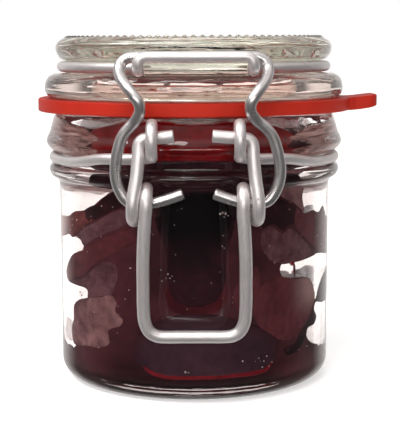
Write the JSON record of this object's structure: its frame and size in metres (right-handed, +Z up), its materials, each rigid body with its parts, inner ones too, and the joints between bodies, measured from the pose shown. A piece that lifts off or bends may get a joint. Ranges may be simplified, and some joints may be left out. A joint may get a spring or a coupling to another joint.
{
  "type": "jar of pickled beetroot",
  "caption": "Small clip-top glass jar with a wire clip and a red rubber ring, closed and packed with dark pickled beetroot slices.",
  "frame": {"origin": "centre of the jar's flat base, on the surface it stands on", "axes": "+Z up along the jar's axis; -Y towards the front, where the wire lever hangs; +X towards the rubber ring's pull tab; the lid's hinge is at +Y"},
  "size_m": [0.092, 0.0993, 0.0924],
  "materials": {
    "jar_glass": "clear polished pressed glass",
    "lid_glass": "clear polished pressed glass, slightly grey-green",
    "rubber": "smooth matt red rubber",
    "beetroot": "wet dark purple-red beetroot slices against glass",
    "clip_wire": "satin drawn steel wire"
  },
  "bodies": {
    "jar": {"jar_glass": "jar_glass", "lid_glass": "lid_glass", "rubber_ring": "rubber", "beetroot": "beetroot", "neck_wire": "clip_wire", "lid_wire": "clip_wire"},
    "lever": {"lever_wire": "clip_wire"},
    "link": {"link_wire": "clip_wire"}
  },
  "joints": [
    {"name": "lever_pivot", "type": "hinge", "parent": "jar", "child": "lever", "pos_m": [0, -0.045, 0.0681], "axis": [-1, 0, 0], "range_deg": [0, 100]},
    {"name": "link_pivot", "type": "hinge", "parent": "lever", "child": "link", "pos_m": [0, -0.0441, 0.0522], "axis": [-1, 0, 0], "range_deg": [-62.5, 0]}
  ],
  "couplings": [
    {"joint": "link_pivot", "follows": "lever_pivot", "ratio": -0.62}
  ]
}
